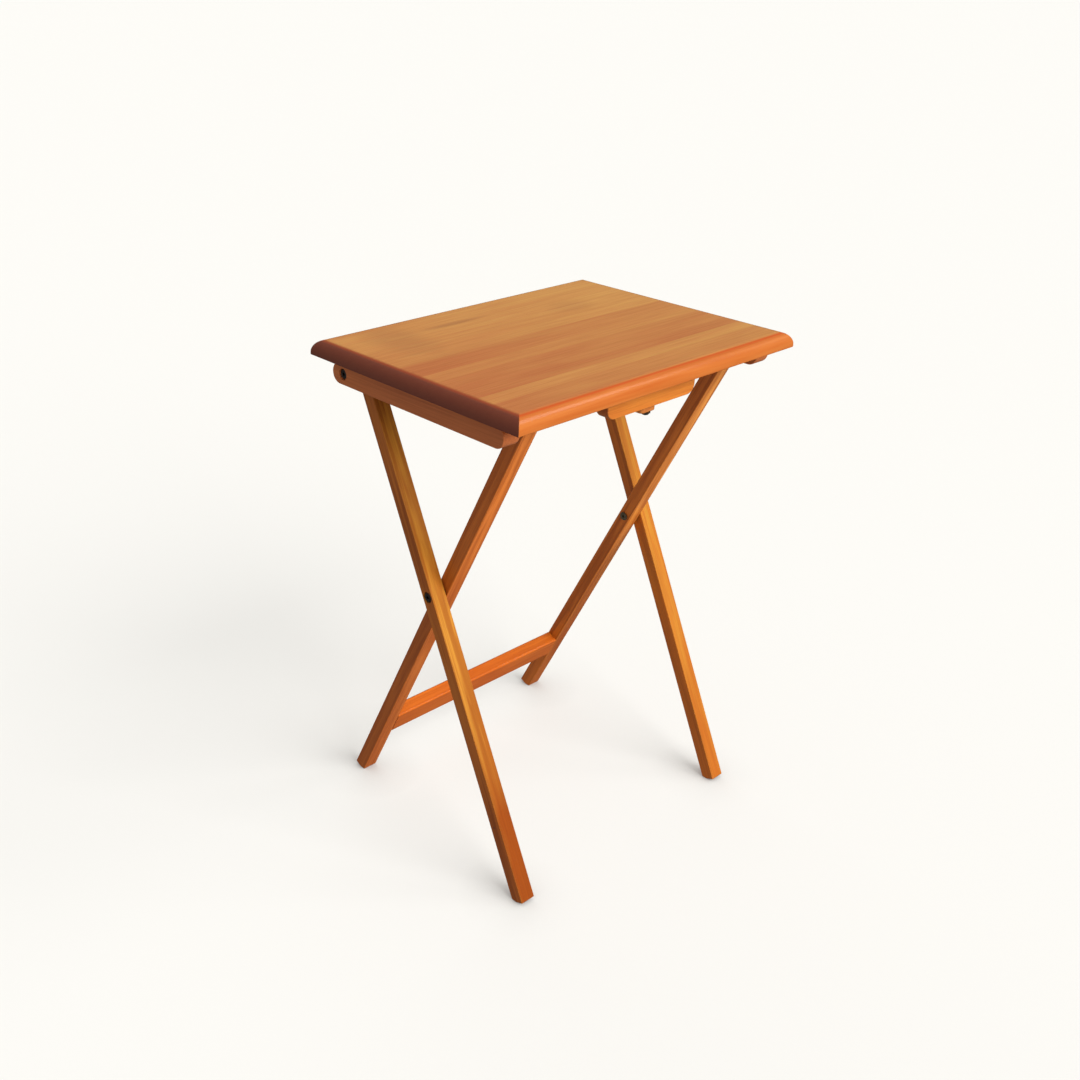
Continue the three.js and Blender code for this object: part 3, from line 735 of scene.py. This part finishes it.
# ---- The studio ----
def camera():
    """Seen from the front left, a little above the tray."""
    place = (-1.0520, -0.9778, 1.0889)
    yaw, pitch, roll = radians(41.414), radians(26.852), radians(0.561)
    bpy.ops.object.camera_add(location=place)
    eye = bpy.context.object
    level = Euler((pi / 2 - pitch, 0, -yaw)).to_matrix().to_4x4()
    eye.matrix_world = Matrix.Translation(place) @ level @ Matrix.Rotation(roll, 4, "Z")
    eye.data.lens = 40.12
    eye.data.sensor_width = 36
    eye.data.shift_x = 0.0948
    eye.data.shift_y = 0.0091
    bpy.context.scene.camera = eye


FLOOR_GLOW = 0.42


def floor():
    """A pale floor that glows a little, but less close to the feet, so that broad shadows stay light. The dimmer
    glow at the feet is a painted contact shadow.
    """
    deselect_all()
    bpy.ops.mesh.primitive_plane_add(size=60, location=(0, 0, -0.2 * MM))
    plane = bpy.context.object
    plane.name = "studio_floor"
    settle(plane)
    graph = Graph("pale_floor")
    # Painted contact shadow: the glow is dimmed where the feet hem the floor in.
    openness = graph.add("ShaderNodeAmbientOcclusion", {"Distance": 70 * MM}, samples=8)
    graph.feed(Base_Color=(0.44, 0.440, 0.435, 1), Roughness=0.9, Specular_IOR_Level=0.0,
               Emission_Color=(1.0, 0.985, 0.94, 1),
               Emission_Strength=graph.maths("MULTIPLY", openness.outputs["AO"], FLOOR_GLOW))
    plane.data.materials.append(graph.material)
    plane.visible_diffuse = False
    plane.visible_glossy = False


# Each light's name, the direction to it, its strength, its width in degrees and whether reflections
# show it.
LIGHTS = (
    ("key_light", (0.12, -0.86, 0.50), 4.4, 50, False),
    ("right_light", (0.62, -0.42, 0.66), 0.45, 20, True),
    ("back_light", (0.45, 0.78, 0.45), 0.6, 60, False),
)
SKY_IN_VIEW = 0.975
SKY_IN_REFLECTIONS = 0.10
SKY_ON_SURFACES = 0.42


def lights():
    """A broad key light from the front, a smaller one for the highlights, a faint one behind, and the room."""
    for name, direction, strength, width, in_reflections in LIGHTS:
        sun = bpy.data.lights.new(name, "SUN")
        sun.energy = strength
        sun.angle = radians(width)
        sun.color = (1.0, 0.985, 0.955)
        light = bpy.data.objects.new(name, sun)
        light.rotation_euler = Vector(direction).to_track_quat("Z", "Y").to_euler()
        light.visible_glossy = in_reflections
        bpy.context.scene.collection.objects.link(light)

    world = bpy.data.worlds.new("pale_room")
    world.use_nodes = True
    bpy.context.scene.world = world
    tree = world.node_tree
    background = tree.nodes["Background"]
    background.inputs["Color"].default_value = (1.0, 0.985, 0.945, 1)
    rays = tree.nodes.new("ShaderNodeLightPath")
    strength = SKY_ON_SURFACES
    for ray, brightness in (("Is Glossy Ray", SKY_IN_REFLECTIONS), ("Is Camera Ray", SKY_IN_VIEW)):
        choice = tree.nodes.new("ShaderNodeMix")
        tree.links.new(rays.outputs[ray], choice.inputs[0])
        if isinstance(strength, float):
            choice.inputs[2].default_value = strength
        else:
            tree.links.new(strength, choice.inputs[2])
        choice.inputs[3].default_value = brightness
        strength = choice.outputs[0]
    tree.links.new(strength, background.inputs["Strength"])


def build():
    camera()
    dark_steel = steel_finish("dark_steel", OXIDE, OXIDE_STAIN, STEEL_ROUGHNESS)
    bright_steel = steel_finish("bright_steel", ZINC, ZINC_STAIN, STEEL_ROUGHNESS)
    slot_materials = {"dark_steel": dark_steel, "bright_steel": bright_steel, "dowel_wood": dowel_finish()}
    for subpart in frame["record"]["subparts"]:
        if subpart["material_slot"] in slot_materials:
            mesh = frame["nodes"][subpart["node"]].data
            mesh.materials.clear()
            mesh.materials.append(slot_materials[subpart["material_slot"]])

    tray_panel()
    catch_block()
    turn_button()
    cross_bar("lower_stretcher", STRETCHER, STRETCHER_DOWEL, STRETCHER_LEVEL, 15)
    cross_bar("top_rail", RAIL, RAIL_DOWEL, LEG_REACH, 18)
    # On the outer legs, the last span of each call is painted shade, darker towards the feet.
    outer_leg("left", -1, BURNT, AMBER, (-0.30, -0.06), LEG_KNOTS)
    outer_leg("right", 1, OUTER_RIGHT_DARK, CHESTNUT, (-0.50, 0.04))
    # AMBER and CHESTNUT, here and on the outer legs, are painted light on the sides that face left and right.
    inner_leg("left", -1, INNER_LEFT_LIGHT, AMBER)
    inner_leg("right", 1, INNER_RIGHT_LIGHT, CHESTNUT)
    for name, side in SIDES.items():
        batten(name, side)
        socket_bolt(f"pivot_bolt_{name}", side, "pivot_bolts", dark_steel)
        socket_bolt(f"cross_bolt_{name}", side, "outer_legs", dark_steel)
        sleeve_nut(name, side, bright_steel)
    floor()
    lights()
    bpy.context.scene.view_settings.view_transform = "Standard"


build()
